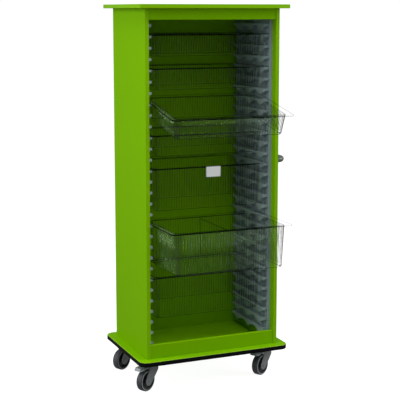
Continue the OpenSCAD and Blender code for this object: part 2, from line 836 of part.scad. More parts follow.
module wheel_core() {
    web = 3;
    rim_half = wheel_w / 2 - web;
    core_rim = 4;
    boss_t = 6;
    draft = 1;
    boss_r = axle_dia / 2 + boss_t;
    color(core_grey) at_axle() rotate_extrude($fn = 96) polygon([
        [axle_dia / 2 + run_fit, -hub_half],
        [boss_r, -hub_half],
        [boss_r + draft, -web],
        [core_r - core_rim - draft, -web],
        [core_r - core_rim, -rim_half],
        [core_r, -rim_half],
        [core_r, rim_half],
        [core_r - core_rim, rim_half],
        [core_r - core_rim - draft, web],
        [boss_r + draft, web],
        [boss_r, hub_half],
        [axle_dia / 2 + run_fit, hub_half]
    ]);
}

module tyre() {
    half = wheel_w / 2;
    outer = wheel_dia / 2;
    color(tyre_grey) at_axle() rotate_extrude($fn = 96) {
        intersection() {
            union() {
                translate([core_r, -half]) square([outer - core_r - tyre_shoulder, wheel_w]);
                translate([core_r, -half + tyre_shoulder])
                    square([outer - core_r, 2 * (half - tyre_shoulder)]);
                for (side = [-1, 1])
                    translate([outer - tyre_shoulder, side * (half - tyre_shoulder)])
                        circle(tyre_shoulder);
            }
            translate([core_r, -half]) square([outer - core_r, wheel_w]);
        }
        for (side = [-1, 1])
            translate([sidewall_rib_r - sidewall_rib_w / 2, side * half - sidewall_rib_h])
                square([sidewall_rib_w, 2 * sidewall_rib_h]);
    }
}

module brake_pedal() {
    half_in = fork_in - 1;
    pad_x = pedal_reach - pad_len / 2;
    color(pedal_grey) turned() {
        translate([pedal_x, 0, pedal_z]) rotate([90, 0, 0])
            cylinder(h = 2 * fork_out, d = pedal_pin_dia, center = true);
        translate([pedal_x, -half_in, pedal_z - pedal_under])
            cube([pad_x - pedal_x, 2 * half_in, pedal_t]);
        translate([pad_x, 0, pedal_z - pedal_under]) mirror([0, 0, 1]) difference() {
            leaning_block(pad_len, pedal_w, pedal_r, pad_t, pad_lean);
            translate([0, 0, over_cut]) leaning_block(pad_len - 2 * pad_wall, pedal_w - 2 * pad_wall,
                pedal_r - pad_wall, pad_t - pad_wall + over_cut, pad_lean);
        }
    }
}

module castor_at(side, end) {
    translate([side * castor_x, castor_ys[end], 0]) children();
}

module centred() {
    translate(-origin) children();
}

centred() base_board();
centred() edge_bumper();
centred() side_panel(-1);  // side_panel_left
centred() side_panel(1);  // side_panel_right
centred() back_panel();
centred() front_rail(rail_h, top_z - rail_h);  // top_rail
centred() front_rail(plinth_h, deck_z);  // plinth_rail
centred() top_board();
centred() ladder(-1, 0);  // ladder_left_lower
centred() ladder(-1, 1);  // ladder_left_middle
centred() ladder(-1, 2);  // ladder_left_upper
centred() ladder(1, 0);  // ladder_right_lower
centred() ladder(1, 1);  // ladder_right_middle
centred() ladder(1, 2);  // ladder_right_upper
centred() ladder_screws();
centred() panel_dowels();
centred() base_screws();
centred() back_screws();
centred() handle_bar();
centred() handle_rosette(handle_ys[0]);  // handle_rosette_front
centred() handle_rosette(handle_ys[1]);  // handle_rosette_rear
centred() handle_bolts();
centred() tray(0);  // tray_1
centred() tray(1);  // tray_2
centred() tray(2);  // tray_3
centred() tray(3);  // tray_4
centred() tray(4);  // tray_5
centred() tray(5);  // tray_6
centred() tray(6);  // tray_7
centred() tray_divider();
centred() label_holder();
centred() label_card();
centred() castor_bolts();
centred() castor_at(-1, 0) castor_plate();  // castor_plate_front_left
centred() castor_at(1, 0) castor_plate();  // castor_plate_front_right
centred() castor_at(-1, 1) castor_plate();  // castor_plate_rear_left
centred() castor_at(1, 1) castor_plate();  // castor_plate_rear_right
centred() castor_at(-1, 0) kingpin();  // kingpin_front_left
centred() castor_at(1, 0) kingpin();  // kingpin_front_right
centred() castor_at(-1, 1) kingpin();  // kingpin_rear_left
centred() castor_at(1, 1) kingpin();  // kingpin_rear_right
centred() castor_at(-1, 0) fork();  // fork_front_left
centred() castor_at(1, 0) fork();  // fork_front_right
centred() castor_at(-1, 1) fork();  // fork_rear_left
centred() castor_at(1, 1) fork();  // fork_rear_right
centred() castor_at(-1, 0) axle();  // axle_front_left
centred() castor_at(1, 0) axle();  // axle_front_right
centred() castor_at(-1, 1) axle();  // axle_rear_left
centred() castor_at(1, 1) axle();  // axle_rear_right
centred() castor_at(-1, 0) wheel_core();  // wheel_core_front_left
centred() castor_at(1, 0) wheel_core();  // wheel_core_front_right
centred() castor_at(-1, 1) wheel_core();  // wheel_core_rear_left
centred() castor_at(1, 1) wheel_core();  // wheel_core_rear_right
centred() castor_at(-1, 0) tyre();  // tyre_front_left
centred() castor_at(1, 0) tyre();  // tyre_front_right
centred() castor_at(-1, 1) tyre();  // tyre_rear_left
centred() castor_at(1, 1) tyre();  // tyre_rear_right
centred() castor_at(-1, 0) brake_pedal();  // brake_pedal_front_left
centred() castor_at(1, 0) brake_pedal();  // brake_pedal_front_right
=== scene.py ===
# %% [markdown]
# # A tray trolley, piece by piece
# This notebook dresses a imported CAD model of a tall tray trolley: a lime green cabinet on
# castors, ladders of runners inside, and seven clear slide-in trays. The CAD says where
# everything is and how it moves. Blender adds what makes it look real: rounded arrises,
# moulded ribs, finishes and light. Everything is in metres, Z is up, the floor is at 0.

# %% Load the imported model
import json
import math

import bmesh
import bpy
from mathutils import Matrix, Vector


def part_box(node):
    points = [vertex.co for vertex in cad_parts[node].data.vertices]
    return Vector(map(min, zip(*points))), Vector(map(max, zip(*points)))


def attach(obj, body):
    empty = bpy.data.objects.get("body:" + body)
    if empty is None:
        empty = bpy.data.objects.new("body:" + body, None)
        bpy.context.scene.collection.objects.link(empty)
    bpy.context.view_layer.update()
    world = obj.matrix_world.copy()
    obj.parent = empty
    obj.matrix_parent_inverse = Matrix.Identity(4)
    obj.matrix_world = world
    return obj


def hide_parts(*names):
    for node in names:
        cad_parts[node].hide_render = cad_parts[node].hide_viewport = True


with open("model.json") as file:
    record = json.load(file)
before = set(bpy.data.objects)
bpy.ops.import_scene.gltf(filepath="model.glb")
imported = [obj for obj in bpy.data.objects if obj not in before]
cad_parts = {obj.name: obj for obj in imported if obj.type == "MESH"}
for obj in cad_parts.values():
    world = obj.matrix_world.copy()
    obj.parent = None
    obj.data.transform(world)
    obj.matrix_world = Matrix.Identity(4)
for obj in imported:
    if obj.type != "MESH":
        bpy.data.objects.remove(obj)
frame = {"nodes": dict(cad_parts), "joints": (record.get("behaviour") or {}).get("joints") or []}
cad = frame["nodes"]
scene = bpy.context.scene
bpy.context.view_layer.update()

# %% [markdown]
# ## One small class for node trees
# Materials and geometry nodes are both trees of nodes. Wiring them by hand is long and hard
# to read, so a socket is wrapped in a class with Python's own operators: `wear * 0.5 + 0.2`
# adds two Math nodes. The reflected forms make `1 - mask` work too. Sums of plain numbers
# stay in Python and cost no node at all.

# %% A socket that does sums
class Wire:
    """An output socket. Sums on it add Math nodes to its tree."""

    def __init__(self, tree, socket):
        self.tree, self.socket = tree, socket

    def math(self, operation, *others):
        values = dict(enumerate((self, *others)))
        return self.tree.node("ShaderNodeMath", values, operation=operation)

    def taken_from(self, other):
        return self.tree.node("ShaderNodeMath", {0: other, 1: self}, operation="SUBTRACT")

    def __add__(self, other): return self.math("ADD", other)
    def __sub__(self, other): return self.math("SUBTRACT", other)
    def __mul__(self, other): return self.math("MULTIPLY", other)
    def __truediv__(self, other): return self.math("DIVIDE", other)
    def __pow__(self, other): return self.math("POWER", other)
    def __radd__(self, other): return self.math("ADD", other)
    def __rmul__(self, other): return self.math("MULTIPLY", other)
    def __rsub__(self, other): return self.taken_from(other)
    def __neg__(self): return self.math("MULTIPLY", -1)
    def __abs__(self): return self.math("ABSOLUTE")
    def least(self, other): return self.math("MINIMUM", other)
    def most(self, other): return self.math("MAXIMUM", other)

    def between(self, low, high):
        """0 below low, 1 above high, smooth in between. With low above high it falls."""
        values = {"Value": self, "From Min": min(low, high), "From Max": max(low, high)}
        rise = self.tree.node("ShaderNodeMapRange", values, interpolation_type="SMOOTHSTEP")
        return rise if low < high else 1 - rise


print("wires ready")

# %% [markdown]
# ## One method for any node
# Every other node comes from one method, `node`. It takes the node's type, then the values or
# wires of its sockets, then its settings. The settings are set first, because a setting such
# as a noise's dimensions decides which sockets the node has. It gives back a wire, so calls
# can be put inside one another, as a formula is written.

# %% A tree that makes nodes
class Tree:
    """A node tree with one method that makes any node."""

    def __init__(self, tree):
        self.tree = tree

    def node(self, kind, sockets=(), output=0, **settings):
        made = self.tree.nodes.new(kind)
        for name, value in settings.items():
            setattr(made, name, value)
        for name, value in dict(sockets).items():
            self.join(made.inputs[name], value)
        return Wire(self, made.outputs[output]) if made.outputs else None

    def join(self, socket, value):
        """Link a wire to a socket, or set the socket to a number, a vector or a colour."""
        if isinstance(value, Wire):
            self.tree.links.new(value.socket, socket)
        elif hasattr(value, "__len__") and socket.type == "RGBA" and len(value) == 3:
            socket.default_value = (*value, 1)
        else:
            socket.default_value = value


print("trees ready")

# %% [markdown]
# ## A finish
# A finish is a material with one Principled shader. Its patterns are laid on Object
# coordinates, which are real metres here, so a grain of one millimetre is one millimetre on
# every piece. Only what changes over the surface is wired; all that is constant is set on the
# shader's own sockets.

# %% The finish class
class Finish(Tree):
    """A material with one Principled shader and patterns in metres."""

    def __init__(self, name, colour, roughness=0.5, **constants):
        self.material = bpy.data.materials.new(name)
        self.material.use_nodes = True
        super().__init__(self.material.node_tree)
        self.tree.nodes.clear()
        shader = self.node("ShaderNodeBsdfPrincipled")
        self.shader = shader.socket.node
        self.node("ShaderNodeOutputMaterial", {"Surface": shader})
        self.place = self.node("ShaderNodeTexCoord", output="Object")
        self.feed("Base Color", colour)
        self.feed("Roughness", roughness)
        for socket, value in constants.items():
            self.feed(socket.replace("_", " "), value)
        self.material.diffuse_color = (*colour, 1)

    def feed(self, socket, value):
        self.join(self.shader.inputs[socket], value)

    def axes(self, place=None):
        """The x, y and z of a place, by default the point on the surface."""
        parts = self.node("ShaderNodeSeparateXYZ", {0: place or self.place})
        return [Wire(self, socket) for socket in parts.socket.node.outputs]

    def seen_from(self, frame_matrix):
        """The point on the surface in the frame that a matrix describes."""
        back = frame_matrix.inverted()
        values = {"Vector": self.place, "Location": back.to_translation(),
                  "Rotation": back.to_euler()}
        return self.node("ShaderNodeMapping", values)

    def noise(self, size, detail=3, rough=0.5, stretch=None):
        """Noise from 0 to 1 whose lumps are about size metres across."""
        where = self.place
        if stretch:
            where = self.node("ShaderNodeVectorMath", {0: where, 1: stretch},
                              operation="MULTIPLY")
        values = {"Vector": where, "Scale": 1 / size, "Detail": detail, "Roughness": rough}
        return self.node("ShaderNodeTexNoise", values)

    def glance(self):
        """0 where the surface faces the eye, 1 where the eye only grazes it."""
        return self.node("ShaderNodeLayerWeight", {"Blend": 0.5}, output="Facing")

    def mix(self, share, first, second):
        values = {0: share, 6: first, 7: second}
        return self.node("ShaderNodeMix", values, output=2, data_type="RGBA")

    def relief(self, height, depth, strength=1.0):
        """Bump from a height in 0 to 1 that stands for depth metres."""
        values = {"Height": height, "Distance": depth, "Strength": strength}
        self.feed("Normal", self.node("ShaderNodeBump", values))


def tinted(colour, share):
    """A colour made lighter or darker by a share."""
    return tuple(min(v * share, 1) for v in colour)


print("finish class ready")

# %% [markdown]
# ## Lime green laminate
# The boards are chipboard with a melamine face: an even lime green with a very fine pearl
# texture that you feel more than see. It breaks the shine up a little, and the colour drifts by
# a percent or two from place to place. Handling leaves it slightly polished in soft patches.
# The edges carry a glued plastic band in the same green, a shade lighter and glossier. The
# base board's round arris has a painted highlight: a paler green for the light it catches.

# %% Laminate and edge band
LIME = (0.165, 0.400, 0.0005)
LIME_BAND = (0.185, 0.425, 0.001)
# The third colour is a painted highlight, a paler green for the light that the base board's
# round arris catches.
LIME_ARRIS_HIGHLIGHT = (0.33, 0.60, 0.04)
FACE_SHINE, BAND_SHINE = 0.36, 0.28
FACE_SHEEN, BAND_SHEEN = 0.008, 0.05
DRIFT_SIZE, PEARL_SIZE, PATCH_SIZE, PEARL_DEPTH = 0.35, 0.0011, 0.11, 0.00006
PALER, DARKER = 1.05, 0.95


def laminate(name, colour, shine, sheen):
    finish = Finish(name, colour, shine, IOR=1.48, Specular_IOR_Level=sheen)
    drift = finish.noise(DRIFT_SIZE, 2)
    pearl = finish.noise(PEARL_SIZE, 2, 0.6)
    finish.feed("Base Color", finish.mix(drift * 0.7 + pearl * 0.3,
                                         tinted(colour, DARKER), tinted(colour, PALER)))
    patches = finish.noise(PATCH_SIZE, 4).between(0.45, 0.75)
    finish.feed("Roughness", shine + pearl * 0.08 - patches * 0.05)
    finish.relief(pearl, PEARL_DEPTH, 0.5)
    return finish.material


board_green = laminate("board_green", LIME, FACE_SHINE, FACE_SHEEN)
band_green = laminate("band_green", LIME_BAND, BAND_SHINE, BAND_SHEEN)
arris_green = laminate("arris_green", LIME_ARRIS_HIGHLIGHT, BAND_SHINE, BAND_SHEEN)
print("laminate:", board_green.name, band_green.name, arris_green.name)

# %% [markdown]
# ## Moulded plastic and rubber
# A moulded part copies its steel mould, which spark erosion leaves finely pitted. So the grain
# is a millimetre or so and no deeper than a sheet of foil, over a cloudy drift of shade. The
# runners are blue-grey plastic, the bumper is matt black rubber, and the castors' cores and
# pedals are nylon. One function makes all four, since they differ in numbers only.

# %% Runner plastic, bumper rubber and nylon
CLOUD_SIZE = 0.06


def moulded(name, colour, shine, grain, depth, variation=0.12, **constants):
    """Moulded plastic with a spark-eroded grain."""
    finish = Finish(name, colour, shine, **constants)
    cloud = finish.noise(CLOUD_SIZE, 3)
    pits = finish.noise(grain, 2, 0.65)
    finish.feed("Base Color", finish.mix(cloud * 0.6 + pits * 0.4,
                                         tinted(colour, 1 - variation),
                                         tinted(colour, 1 + variation)))
    finish.feed("Roughness", shine - 0.06 + cloud * 0.12)
    finish.relief(pits, depth, 0.6)
    return finish.material


runner_plastic = moulded("runner_plastic", (0.28, 0.36, 0.37), 0.45, 0.0008, 0.00008)
bumper_rubber = moulded("bumper_rubber", (0.004, 0.004, 0.0045), 0.5, 0.0016, 0.0001, 0.3,
                        Specular_IOR_Level=0.04)
pedal_nylon = moulded("pedal_nylon", (0.24, 0.27, 0.285), 0.38, 0.001, 0.00006)
core_nylon = moulded("core_nylon", (0.030, 0.031, 0.034), 0.48, 0.0009, 0.00008, 0.2)
print("moulded finishes ready")

# %% [markdown]
# ## Metal
# The forks and the handle are coated steel, and the screws and plates are plated with zinc. A
# coat or a plating lies on the steel with a slight orange peel, which breaks its shine at a
# millimetre or two. Bump draws that without a single extra face.

# %% Castor forks, zinc and the handle
STAIN_SIZE, PEEL_SIZE, PEEL_DEPTH = 0.03, 0.0016, 0.00008


def coated(name, colour, shine, metal, peel_size=PEEL_SIZE):
    """Coated or plated metal: an orange-peel skin over the steel."""
    finish = Finish(name, colour, shine, Metallic=metal)
    peel = finish.noise(peel_size, 2, 0.5)
    cloud = finish.noise(STAIN_SIZE, 4)
    finish.feed("Base Color", finish.mix(cloud, tinted(colour, 0.85), tinted(colour, 1.12)))
    finish.feed("Roughness", shine + cloud * 0.1 - 0.05)
    finish.relief(peel, PEEL_DEPTH, 0.5)
    return finish.material


fork_metal = coated("fork_metal", (0.20, 0.21, 0.22), 0.42, 0.35)
zinc_plate = coated("zinc_plate", (0.62, 0.63, 0.63), 0.34, 1.0, 0.003)
handle_grey = coated("handle_grey", (0.098, 0.112, 0.108), 0.38, 0.2)
print("metal finishes ready")

# %% [markdown]
# ## Tyres
# A castor tyre is slate grey rubber with dust in its grain. A ridge on each sidewall catches the
# light, and that highlight is painted as a paler ring; inside the ring the sidewall is painted
# darker. The ring could be its own mesh, but it is painted by its distance from the axle. Each
# wheel's joint says where the axle is and which way it points, and the finish reads that frame.

# %% One finish for each tyre
SLATE, ROAD_DUST = (0.034, 0.040, 0.046), (0.10, 0.105, 0.11)
# The ring colour is a painted highlight: the light caught by a ridge on the sidewall.
RING_HIGHLIGHT, INNER_DARK = (0.27, 0.285, 0.30), (0.02, 0.021, 0.023)
RING_FROM, RING_TO, SIDEWALL = 0.0412, 0.0462, 0.0120
RING_EDGE, INNER_EDGE, SHOULDER = 0.0006, 0.0004, 0.001
DUST_SIZE, GRAIN_SIZE, GRAIN_DEPTH = 0.012, 0.0012, 0.0001


def tyre_rubber(wheel):
    """Slate grey tread with road dust, a painted highlight ring on each sidewall, darker inside.
    """
    joint = next(j for j in frame["joints"] if j["child"] == wheel)
    along_axle = Vector(joint["axis"]).to_track_quat("X", "Z").to_matrix().to_4x4()
    finish = Finish(f"tyre_{wheel}", SLATE, 0.62)
    x, y, z = finish.axes(finish.seen_from(Matrix.Translation(joint["pos_m"]) @ along_axle))
    reach = (y ** 2 + z ** 2) ** 0.5
    outside = abs(x).between(SIDEWALL, SIDEWALL + SHOULDER)
    # Painted highlight where the sidewall's ridge catches the light.
    ring = (reach.between(RING_FROM, RING_FROM + RING_EDGE)
            * reach.between(RING_TO, RING_TO - RING_EDGE) * outside)
    inner_dark = reach.between(RING_FROM, RING_FROM - INNER_EDGE) * outside
    dust = finish.noise(DUST_SIZE, 5, 0.6).between(0.5, 0.8)
    tread = finish.mix(dust * 0.6, SLATE, ROAD_DUST)
    finish.feed("Base Color", finish.mix(ring, finish.mix(inner_dark, tread, INNER_DARK), RING_HIGHLIGHT))
    finish.feed("Roughness", 0.55 + dust * 0.2)
    finish.relief(finish.noise(GRAIN_SIZE, 3), GRAIN_DEPTH, 0.5)
    return finish.material


TYRES = {f"tyre_{end}_{side}": tyre_rubber(f"wheel_{end}_{side}")
         for end in ("front", "rear") for side in ("left", "right")}
print(len(TYRES), "tyres ready")

# %% [markdown]
# ## Beech and card
# The dowels are beech, with short fibres along their length: a noise that is stretched ten
# times along Z draws them, because most dowels stand upright, and all are hidden in their
# holes. The label is plain uncoated card with a little pulp in it, a fine noise.

# %% Dowels and label
beech_finish = Finish("beech", (0.55, 0.36, 0.2), 0.6)
FIBRE_SIZE, UPRIGHT = 0.003, (1, 1, 0.1)
fibre = beech_finish.noise(FIBRE_SIZE, 4, 0.6, UPRIGHT)
beech_finish.feed("Base Color", beech_finish.mix(fibre, (0.45, 0.28, 0.14), (0.62, 0.43, 0.26)))
beech = beech_finish.material

card_finish = Finish("label_card", (0.62, 0.64, 0.63), 0.75)
PULP_SIZE, PULP_DEPTH = 0.0009, 0.00004
pulp = card_finish.noise(PULP_SIZE, 4, 0.7)
card_finish.feed("Base Color", card_finish.mix(pulp, (0.58, 0.60, 0.60), (0.68, 0.70, 0.69)))
card_finish.relief(pulp, PULP_DEPTH, 0.5)
card_paper = card_finish.material
print("wood and card ready")

# %% [markdown]
# ## A tray's own frame
# Patterns on a tray follow its rim and walls, so they need its sizes and a frame of its own.
# Six trays lie level, and their boxes tell all. The third hangs tipped over the front ends of
# its ledges, so its box says little. Its twin, the second tray, lies level a few ledges
# higher: that box is moved down and forward, and then turned about the tipping joint. An
# empty could carry the frame, but an export drops empties, so a Mapping node does it.

# %% Sizes of a tray, and the third tray's frame
TRAYS = [f"tray_{n}" for n in range(1, 8)]
RIM_W, RIM_R, RIM_T = 0.026, 0.022, 0.005
WALL, LEAN, FOOT, BODY_R = 0.0025, 0.010, 0.005, 0.028
TIPPED, ITS_TWIN = "tray_3", "tray_2"
LEDGE_STEP, LEDGES_LOWER, PULLED = 0.050, 3, 0.258
tip_joint = next(j for j in frame["joints"] if j["child"] == f"{TIPPED}_body")
tip = math.radians(tip_joint["range_deg"][1])
pivot = Vector(tip_joint["pos_m"])
turn_down = (Matrix.Translation(pivot) @ Matrix.Rotation(tip, 4, "X")
             @ Matrix.Translation(-pivot))


def level_box(tray):
    """A tray's box as it is when it lies level, and the turn that brings it to its place."""
    if tray != TIPPED:
        return *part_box(tray), Matrix.Identity(4)
    moved = Vector((0, -PULLED, -LEDGES_LOWER * LEDGE_STEP))
    low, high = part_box(ITS_TWIN)
    return low + moved, high + moved, turn_down


low, high, turn = level_box(TIPPED)

# %% [markdown]
# ## Clear tray plastic
# The trays are clear polycarbonate about two and a half millimetres thick. A real glass shader
# would need many bounces through every wall. What the eye reads is simpler. A thin sheet lets
# nearly all light through and mirrors a few percent, more at a glancing angle, so the finish is
# a faint mirror: a metallic film whose Alpha is that share (Layer Weight gives the angle).
# Thick places bend light away and go dark: the rim's beaded edge, the line where the rim turns
# down into the wall, the foot, and the outlines of the round corners. A signed distance to a
# rounded rectangle finds the lines that follow the rim.

# %% Where the light falls, and the lines that follow the rim
EDGE_DARK, CLEAR = (0.006, 0.010, 0.006), (0.80, 0.84, 0.84)
CABINET_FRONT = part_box("side_panel_left")[0].y
DIM_BEHIND, LIT_BEFORE = 0.06, 0.04
EDGE_BEAD = (-0.0034, -0.0028)
THROAT_LINE, THROAT_HEIGHT = (0.0011, 0.0006), (-0.0085, -0.0075)
STREAKS_A_CORNER, CORNER_SOFT = 14, 0.002


def in_the_light(finish):
    """1 on what stands out in front of the cabinet, 0 inside it."""
    y = finish.axes()[1]
    return y.between(CABINET_FRONT + DIM_BEHIND, CABINET_FRONT - LIT_BEFORE)


def rounded(x, y, half_x, half_y, radius):
    """Distance outside a rounded rectangle; negative inside."""
    over_x, over_y = abs(x) - (half_x - radius), abs(y) - (half_y - radius)
    corner = (over_x.most(0) ** 2 + over_y.most(0) ** 2) ** 0.5
    return corner + over_x.most(over_y).least(0) - radius


def rim_lines(x, y, z, half, in_rim):
    """The rim's beaded edge and the throat under it, fainter at the right and the rear."""
    bright_side = x.between(half.x * 0.4, half.x).most(y.between(half.y * 0.9, half.y))
    edge_run = rounded(x, y, half.x, half.y, RIM_R)
    edge = edge_run.between(*EDGE_BEAD) * in_rim * (1 - bright_side * 0.8)
    inner = RIM_W + WALL
    throat_run = rounded(x, y, half.x - inner, half.y - inner, BODY_R - WALL)
    throat = abs(throat_run).between(*THROAT_LINE) * z.between(*THROAT_HEIGHT)
    return edge.most(throat * (0.7 - bright_side * 0.5))


def round_corners(finish, x, y, half, in_rim):
    """The round corners and an upright streak noise there, for painted glints and painted shade.
    """
    over_x = abs(x) - (half.x - RIM_W - BODY_R)
    over_y = abs(y) - (half.y - RIM_W - BODY_R)
    corner = over_x.least(over_y).between(0, CORNER_SOFT) * (1 - in_rim)
    around = over_x / (over_x + over_y)
    values = {"W": around * STREAKS_A_CORNER, "Detail": 1}
    streak = finish.node("ShaderNodeTexNoise", values, noise_dimensions="1D")
    return corner, streak


print("tray lines ready")

# %% [markdown]
# ## One clear finish for each tray
# The masks come together here. `dark` says how much light a thick place keeps back, and
# `wall` how much a thin one mirrors. A tray inside the cabinet has little to mirror, so its
# film is fainter there. The metal socket stays at one all over: a half-metallic edge would
# catch the lamps as a pale line where the real edge is dark.

# %% Clear plastic
FOOT_LINE, LIT_FROM, LIT_TO = (0.0028, 0.0022), (0.0028, 0.0034), (0.0062, 0.0056)
RIM_SOFT = 0.0006
# The streaks' uneven thickness is real; their dark and pale lines are painted shade and painted
# glints.
STREAK_DARK, STREAK_GLINT = (0.53, 0.62), (0.44, 0.36)
FOOT_SHARE, STREAK_SHARE, MOST_DARK = 0.38, 0.6, 0.92
OUTLINE_TURN, OUTLINE_INSIDE, OUTLINE_LIT = (0.40, 0.70), 0.15, 0.55
SHEET, HAZE, GRAZE, FOOT_GLOW, GLINT_SHARE = 0.002, 0.005, 0.02, 0.04, 0.12
INDOORS, LEAST = 0.3, 0.001


def clear_tray(tray):
    finish = Finish(f"clear_{tray}", CLEAR, 0.08, Metallic=1.0)
    low, high, turn = level_box(tray)
    half = (high - low) / 2
    top_middle = Vector(((low.x + high.x) / 2, (low.y + high.y) / 2, high.z))
    x, y, z = finish.axes(finish.seen_from(turn @ Matrix.Translation(top_middle)))
    rise = z + (high.z - low.z)
    in_rim = z.between(-RIM_T - RIM_SOFT, -RIM_T)
    corner, streak = round_corners(finish, x, y, half, in_rim)
    glance, lit = finish.glance(), in_the_light(finish)
    haze = finish.noise(0.05, 4).between(0.4, 0.8)

    dark = rim_lines(x, y, z, half, in_rim)
    dark = dark.most(rise.between(*FOOT_LINE) * FOOT_SHARE)
    # Painted shade: dark streaks at the corners, for light that their uneven thickness bends
    # away.
    dark = dark.most(corner * streak.between(*STREAK_DARK) * STREAK_SHARE)
    outline = glance.between(*OUTLINE_TURN) * (OUTLINE_INSIDE + lit * OUTLINE_LIT)
    dark = dark.most(corner * outline)

    lit_foot = rise.between(*LIT_FROM) * rise.between(*LIT_TO)
    wall = SHEET + haze * HAZE + glance ** 4 * GRAZE + lit_foot * FOOT_GLOW
    # Painted glints: pale streaks at the corners, for light that their uneven thickness bends to
    # the eye.
    wall = wall + corner * streak.between(*STREAK_GLINT) * GLINT_SHARE
    film = wall * (INDOORS + lit * (1 - INDOORS)) * (1 - in_rim) + LEAST
    finish.feed("Base Color", finish.mix((dark * 9).least(1), CLEAR, EDGE_DARK))
    finish.feed("Alpha", film * (1 - dark) + dark * MOST_DARK)
    finish.feed("Roughness", 0.07 + haze * 0.08)
    return finish.material


clear_finishes = {tray: clear_tray(tray) for tray in TRAYS}
print(len(clear_finishes), "clear trays ready")

# %% [markdown]
# ## The film on the ribs
# A rib is a thin lens. Inside the cabinet it gathers only dimness and draws a dark line; out
# in front it catches the lamps and draws a brighter one. On the right wall, which stands before
# the white background, it is dark again. All the ribs share one film, which tells these places
# apart by the surface's own y and x.

# %% The ribs' film
RIGHT_WALL, WALL_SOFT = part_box("tray_6")[1].x - RIM_W - BODY_R / 2, 0.004
RIB_SHADE, RIB_LIGHT = (0.020, 0.031, 0.014), (0.17, 0.27, 0.12)
RIB_FILM, RIB_GLOW, RIB_GRAZE, RIB_CLOUD, RIB_ON_WHITE = 0.26, 0.40, 0.05, 0.12, 0.35


def rib_film():
    finish = Finish("tray_ribs", CLEAR, 0.14, Metallic=1.0)
    glance, light = finish.glance(), in_the_light(finish)
    cloud = finish.noise(0.09, 3).between(0.45, 0.7)
    right_wall = finish.axes()[0].between(RIGHT_WALL - WALL_SOFT, RIGHT_WALL + WALL_SOFT)
    lit = light * (1 - right_wall)
    alpha = RIB_FILM + lit * (1 - glance) * RIB_GLOW + glance ** 2 * RIB_GRAZE
    alpha = alpha + cloud * RIB_CLOUD + light * right_wall * RIB_ON_WHITE
    finish.feed("Base Color", finish.mix(lit, RIB_SHADE, RIB_LIGHT))
    finish.feed("Alpha", alpha)
    finish.feed("Roughness", 0.24 + cloud * 0.10)
    return finish.material


rib_clear = rib_film()
print(rib_clear.name, "ready")

# %% [markdown]
# ## The label pocket and the divider
# These two are flat clear sheets. Seen face on they hardly show, and at a glancing angle they
# mirror the room, so their films are a constant and a share of the glance. The divider's ends
# and its top are cut edges and look dark. Its ends lean with the tray's walls, so the lean is
# taken off before the distance to the end is measured.

# %% Two flat films
POCKET_FILM, POCKET_GRAZE = 0.10, 0.5
DIVIDER_FILM, DIVIDER_GRAZE, DIVIDER_DARK = 0.02, 0.16, 0.28
END_LINE, TOP_FROM, TOP_TO = (-0.005, -0.004), 0.004, 0.003


def pocket_film():
    finish = Finish("pocket_clear", CLEAR, 0.14, Metallic=1.0)
    finish.feed("Alpha", POCKET_FILM + finish.glance() ** 2 * POCKET_GRAZE)
    return finish.material


def divider_film():
    low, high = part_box("tray_divider")
    middle, half = (low + high) / 2, (high - low) / 2
    finish = Finish("divider_clear", CLEAR, 0.12, Metallic=1.0)
    x, y, z = finish.axes()
    end = abs(y - middle.y) - (z - high.z) * (LEAN / (high.z - low.z)) - half.y
    dark = end.between(*END_LINE).most(z.between(high.z - TOP_FROM, high.z - TOP_TO))
    film = DIVIDER_FILM + finish.glance() ** 2 * DIVIDER_GRAZE
    finish.feed("Base Color", finish.mix(dark, CLEAR, EDGE_DARK))
    finish.feed("Alpha", film * (1 - dark) + dark * DIVIDER_DARK)
    return finish.material


divider_clear, pocket_clear = divider_film(), pocket_film()
print(divider_clear.name, "and", pocket_clear.name, "ready")

# %% [markdown]
# ## Give every CAD node its finish
# A CAD mesh is never edited. Its look changes by filling its material slot, which is all that
# this cell does. The trays and the tyres have a finish each, because their frames differ. The
# rest go by the start of their names, and what has no entry is a plate, a pin or a screw of
# zinc.

# %% Assign finishes by node name
FINISH_BY_START = [
    ("ladder_screws", zinc_plate), ("ladder_", runner_plastic), ("base_board", board_green),
    ("side_panel", board_green), ("back_panel", board_green), ("top_rail", board_green),
    ("plinth_rail", board_green), ("top_board", board_green), ("edge_bumper", bumper_rubber),
    ("panel_dowels", beech), ("handle_bolts", zinc_plate), ("handle_", handle_grey),
    ("tray_divider", divider_clear), ("label_holder", pocket_clear), ("label_card", card_paper),
    ("fork_", fork_metal), ("axle_", fork_metal),
    ("wheel_core", core_nylon), ("brake_pedal", pedal_nylon),
]


def wear(node, material):
    mesh = cad[node].data
    mesh.materials.clear()
    mesh.materials.append(material)


for name in cad:
    found = [material for start, material in FINISH_BY_START if name.startswith(start)]
    wear(name, found[0] if found else zinc_plate)
for name, material in {**clear_finishes, **TYRES}.items():
    wear(name, material)
print(len(cad), "nodes have a finish")

# %% [markdown]
# ## Boards with a soft arris
# A CAD board ends in a knife edge. A real one has a banded edge, rounded by a trimmer to a
# millimetre or so, and that tiny round catches a line of light. Each board that shows is
# rebuilt from its CAD outline as a prism, banded on its narrow faces and rounded by a Bevel
# modifier. It stands for the CAD node, which is hidden.

# %% Outlines
def box_outline(x0, y0, x1, y1):
    return [(x0, y0), (x1, y0), (x1, y1), (x0, y1)]


def round_outline(x0, y0, x1, y1, radius, steps=10):
    """A rectangle with round corners, counter-clockwise."""
    points = []
    corners = [(x1 - radius, y0 + radius, -90), (x1 - radius, y1 - radius, 0),
               (x0 + radius, y1 - radius, 90), (x0 + radius, y0 + radius, 180)]
    for cx, cy, start in corners:
        for k in range(steps + 1):
            turn = math.radians(start + 90 * k / steps)
            points.append((cx + radius * math.cos(turn), cy + radius * math.sin(turn)))
    return points


print("outlines ready")

